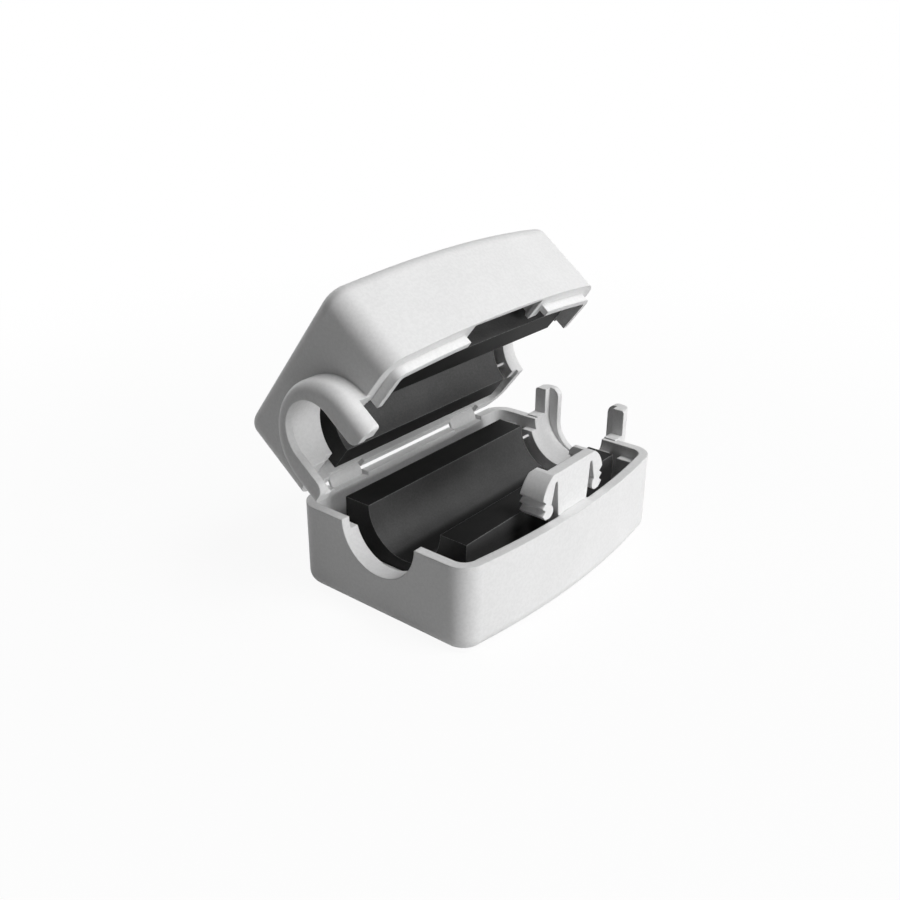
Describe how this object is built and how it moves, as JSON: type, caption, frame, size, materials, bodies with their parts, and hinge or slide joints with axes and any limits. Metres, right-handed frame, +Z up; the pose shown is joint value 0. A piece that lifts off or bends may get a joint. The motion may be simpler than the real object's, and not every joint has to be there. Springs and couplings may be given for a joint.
{
  "type": "clip on ferrite bead",
  "caption": "Clip on cable ferrite: hinged pale plastic case, split dark ferrite core with a round cable bore, toothed harpoon latch and a hooked cable collar at each end",
  "frame": {"origin": "on the base of the lower case half, under the middle of the cable bore", "axes": "X along the cable towards the end with the lower half's collar, Y from the latch to the hinge, Z up"},
  "size_m": [0.0466, 0.0358, 0.0393],
  "materials": {
    "case_plastic": "fine satin moulded",
    "ferrite": null,
    "hinge_film": "fine satin moulded"
  },
  "bodies": {
    "base_half": {"lower_case": "case_plastic", "lower_core": "ferrite", "hinge_strap_left": "hinge_film", "hinge_strap_right": "hinge_film"},
    "lid_half": {"upper_case": "case_plastic", "upper_core": "ferrite"}
  },
  "joints": [
    {"name": "lid", "type": "hinge", "parent": "base_half", "child": "lid_half", "pos_m": [0, 0.01325, 0.01115], "axis": [-1, 0, 0], "range_deg": [-52.5, 125.5], "deforming": ["hinge_strap_left", "hinge_strap_right"]}
  ]
}
